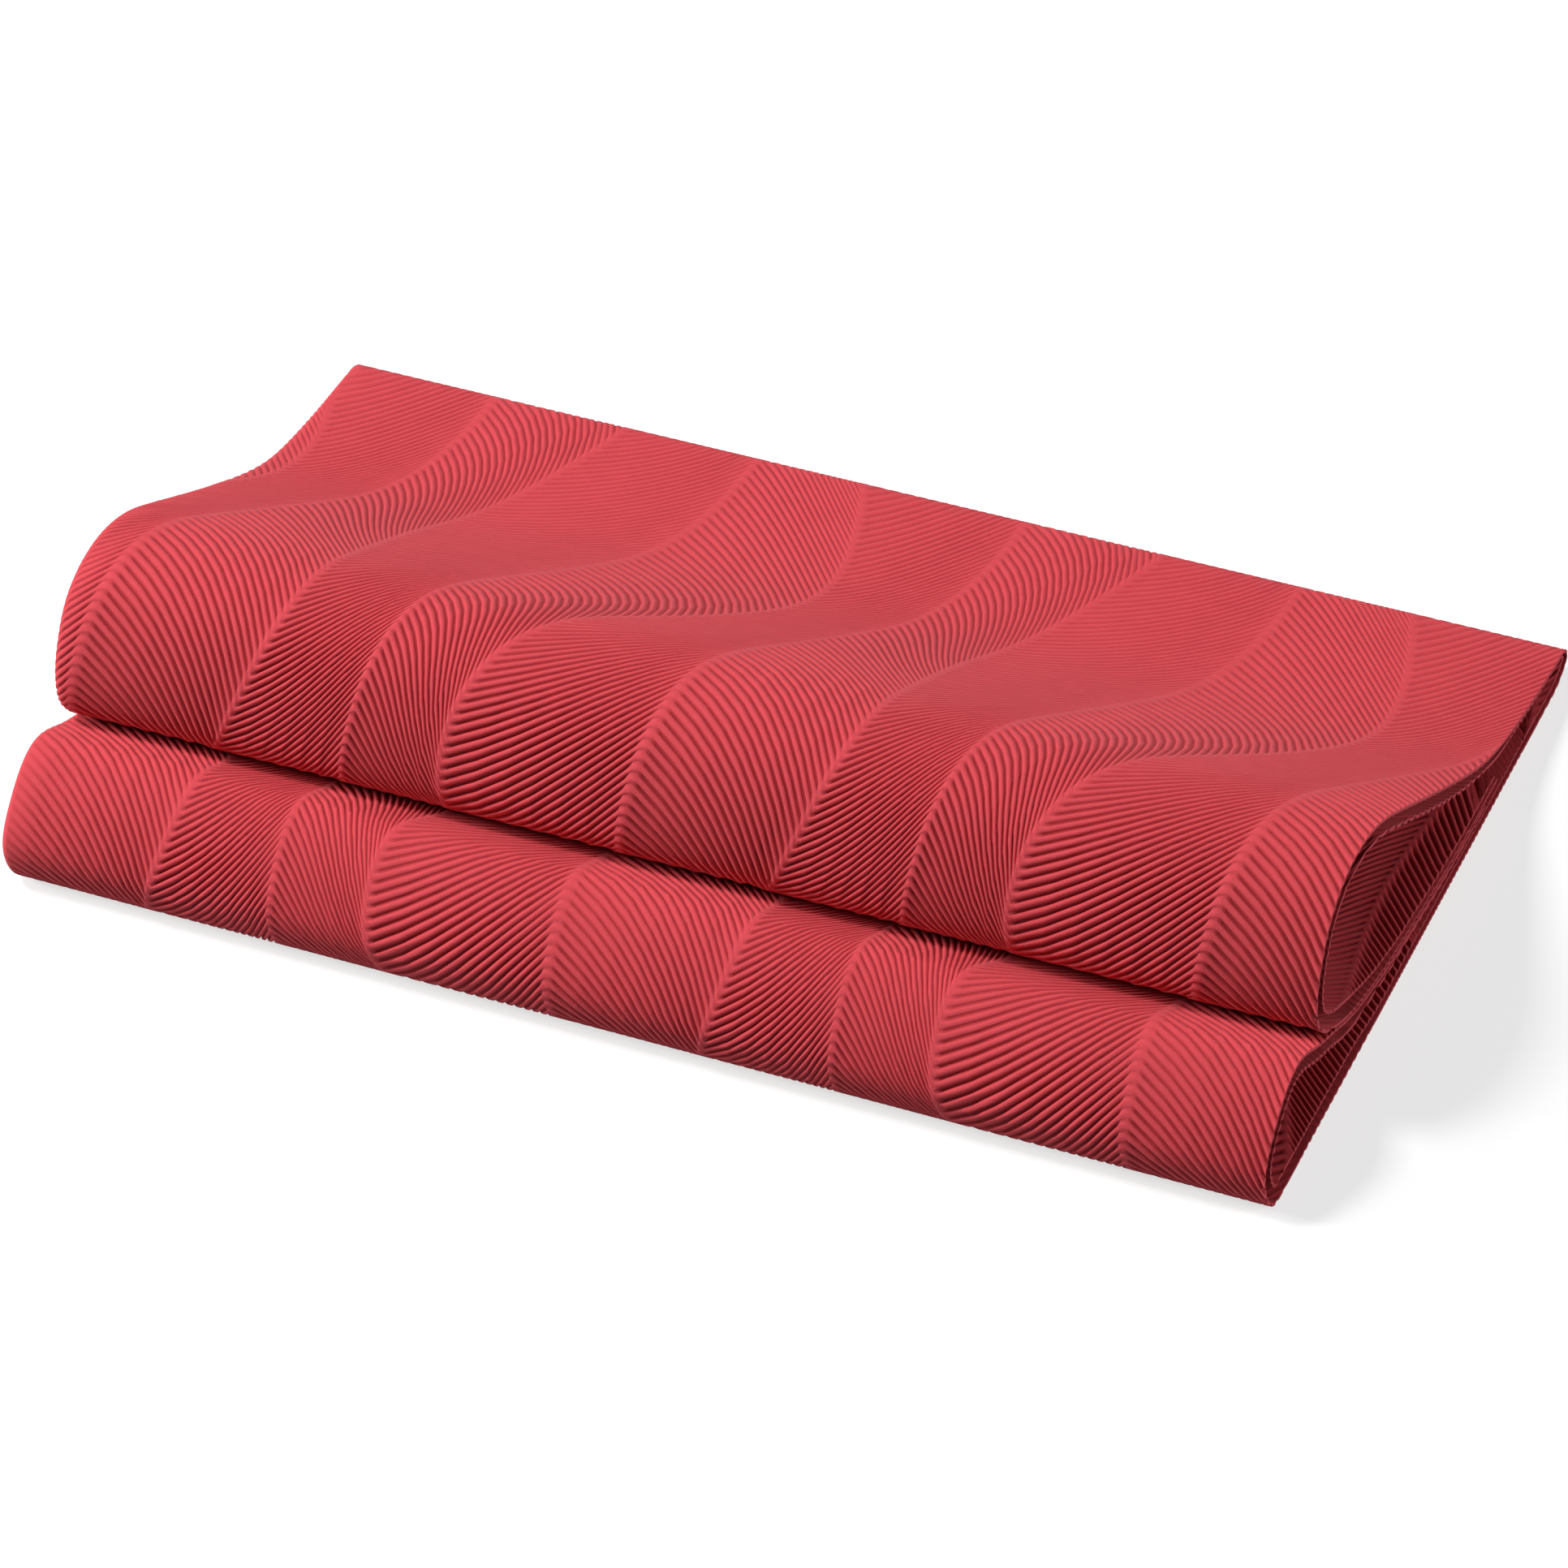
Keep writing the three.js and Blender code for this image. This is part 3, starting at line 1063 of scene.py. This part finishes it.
@dataclass(frozen=True)
class Camera:
    """The camera at the photograph's angle.

    Angles in degrees, places in metres, focal length and frame in pixels, sensor in millimetres.
    """

    azimuth: float = 29.969
    elevation: float = 44.009
    roll: float = -7.725
    eye: tuple[float, float, float] = (0.4473, -0.7770, 0.8648)
    focal_pixels: float = 10450.0
    frame_pixels: float = 1932.0
    sensor: float = 36.0
    near: float = 0.01

    def place(self) -> None:
        """Adds the camera and makes it the scene's.

        At azimuth a and elevation e, the way from the bundle to the camera is (sin a cos e,
        -cos a cos e, sin e). The level and raised ways are square to it, turned by the roll.
        """
        a, e, r = (math.radians(x) for x in (self.azimuth, self.elevation, self.roll))
        back = Vector((math.sin(a) * math.cos(e), -math.cos(a) * math.cos(e), math.sin(e)))
        level = Vector((math.cos(a), math.sin(a), 0.0))
        raised = back.cross(level)
        right = level * math.cos(r) + raised * math.sin(r)
        up = raised * math.cos(r) - level * math.sin(r)
        data = bpy.data.cameras.new("camera")
        data.sensor_width = self.sensor
        data.lens = self.focal_pixels / self.frame_pixels * self.sensor
        data.clip_start = self.near
        camera = bpy.data.objects.new("camera", data)
        turn = Matrix((right, up, back)).transposed().to_4x4()
        camera.matrix_world = Matrix.Translation(self.eye) @ turn
        bpy.context.scene.collection.objects.link(camera)
        bpy.context.scene.camera = camera


@dataclass(frozen=True)
class SoftLight:
    """A square area light that looks at the bundle. Sizes in metres, power in watts."""

    name: str
    place: tuple[float, float, float]
    size: float
    power: float

    def add(self) -> None:
        """Adds the light, turned towards the bundle."""
        data = bpy.data.lights.new(self.name, "AREA")
        data.size = self.size
        data.energy = self.power
        light = bpy.data.objects.new(self.name, data)
        light.location = self.place
        light.rotation_euler = (-Vector(self.place)).to_track_quat("-Z", "Y").to_euler()
        bpy.context.scene.collection.objects.link(light)


@dataclass
class Studio:
    """The pale floor, the soft lights, and how the picture is developed. Sizes in metres.

    Floor and sky look white to the camera, and light the bundle far less than white ones would,
    as in a studio with black screens round the subject. So the grooves stay dark.
    """

    floor_side: float = 6.0
    floor_drop: float = 0.0001
    floor_colour: float = 0.42
    floor_roughness: float = 0.9
    floor_specular: float = 0.1
    floor_glow: float = 0.68
    floor_bounce: float = 0.4
    sky_glow: float = 1.0
    sky_fill: float = 0.06
    lights: tuple[SoftLight, ...] = (
        SoftLight("key light", (-0.94, -0.14, 1.53), 0.4, 22.0),
        SoftLight("grazing light", (-1.58, -0.38, 0.77), 0.4, 23.0),
        SoftLight("right light", (1.65, 0.25, 0.67), 0.6, 11.0),
        SoftLight("back light", (0.28, 1.21, 1.30), 0.6, 1.5),
    )

    def _floor(self) -> None:
        """Adds the floor, a plain square just under the bundle."""
        half = self.floor_side / 2
        corners = [(-half, -half), (half, -half), (half, half), (-half, half)]
        mesh = bpy.data.meshes.new("floor")
        mesh.from_pydata([(x, y, -self.floor_drop) for x, y in corners], [], [(0, 1, 2, 3)])
        floor = bpy.data.objects.new("floor", mesh)
        bpy.context.scene.collection.objects.link(floor)
        mesh.materials.append(self._floor_material())

    def _floor_material(self) -> Material:
        """Matt white to the camera, and a darker grey to the light that bounces off it."""
        material = bpy.data.materials.new("floor")
        material.use_nodes = True
        nodes, links = material.node_tree.nodes, material.node_tree.links
        seen = nodes["Principled BSDF"]
        seen.inputs["Base Color"].default_value = (self.floor_colour,) * 3 + (1.0,)
        seen.inputs["Roughness"].default_value = self.floor_roughness
        seen.inputs["Specular IOR Level"].default_value = self.floor_specular
        seen.inputs["Emission Color"].default_value = (1.0, 1.0, 1.0, 1.0)
        seen.inputs["Emission Strength"].default_value = self.floor_glow
        bounced = nodes.new("ShaderNodeBsdfDiffuse")
        bounced.inputs["Color"].default_value = (self.floor_bounce,) * 3 + (1.0,)
        ray = nodes.new("ShaderNodeLightPath")
        either = nodes.new("ShaderNodeMixShader")
        links.new(ray.outputs["Is Camera Ray"], either.inputs["Fac"])
        links.new(bounced.outputs["BSDF"], either.inputs[1])
        links.new(seen.outputs["BSDF"], either.inputs[2])
        links.new(either.outputs["Shader"], nodes["Material Output"].inputs["Surface"])
        return material

    def _sky(self) -> None:
        """Fills the world with a faint even light, and shows white where nothing else does."""
        world = bpy.data.worlds.new("sky")
        world.use_nodes = True
        nodes, links = world.node_tree.nodes, world.node_tree.links
        background = nodes["Background"]
        background.inputs["Color"].default_value = (1.0, 1.0, 1.0, 1.0)
        ray = nodes.new("ShaderNodeLightPath")
        strength = nodes.new("ShaderNodeMapRange")
        strength.inputs["To Min"].default_value = self.sky_fill
        strength.inputs["To Max"].default_value = self.sky_glow
        links.new(ray.outputs["Is Camera Ray"], strength.inputs["Value"])
        links.new(strength.outputs["Result"], background.inputs["Strength"])
        bpy.context.scene.world = world

    def build(self) -> None:
        """Sets up the floor, the lights and the picture's colours."""
        self._floor()
        self._sky()
        for light in self.lights:
            light.add()
        bpy.context.scene.view_settings.view_transform = "Standard"


def main() -> None:
    """Builds the napkin, the studio and the camera in order."""
    logging.basicConfig(level=logging.INFO, format="%(message)s", force=True)
    Napkin().build()
    Studio().build()
    Camera().place()


if __name__ == "__main__":
    main()
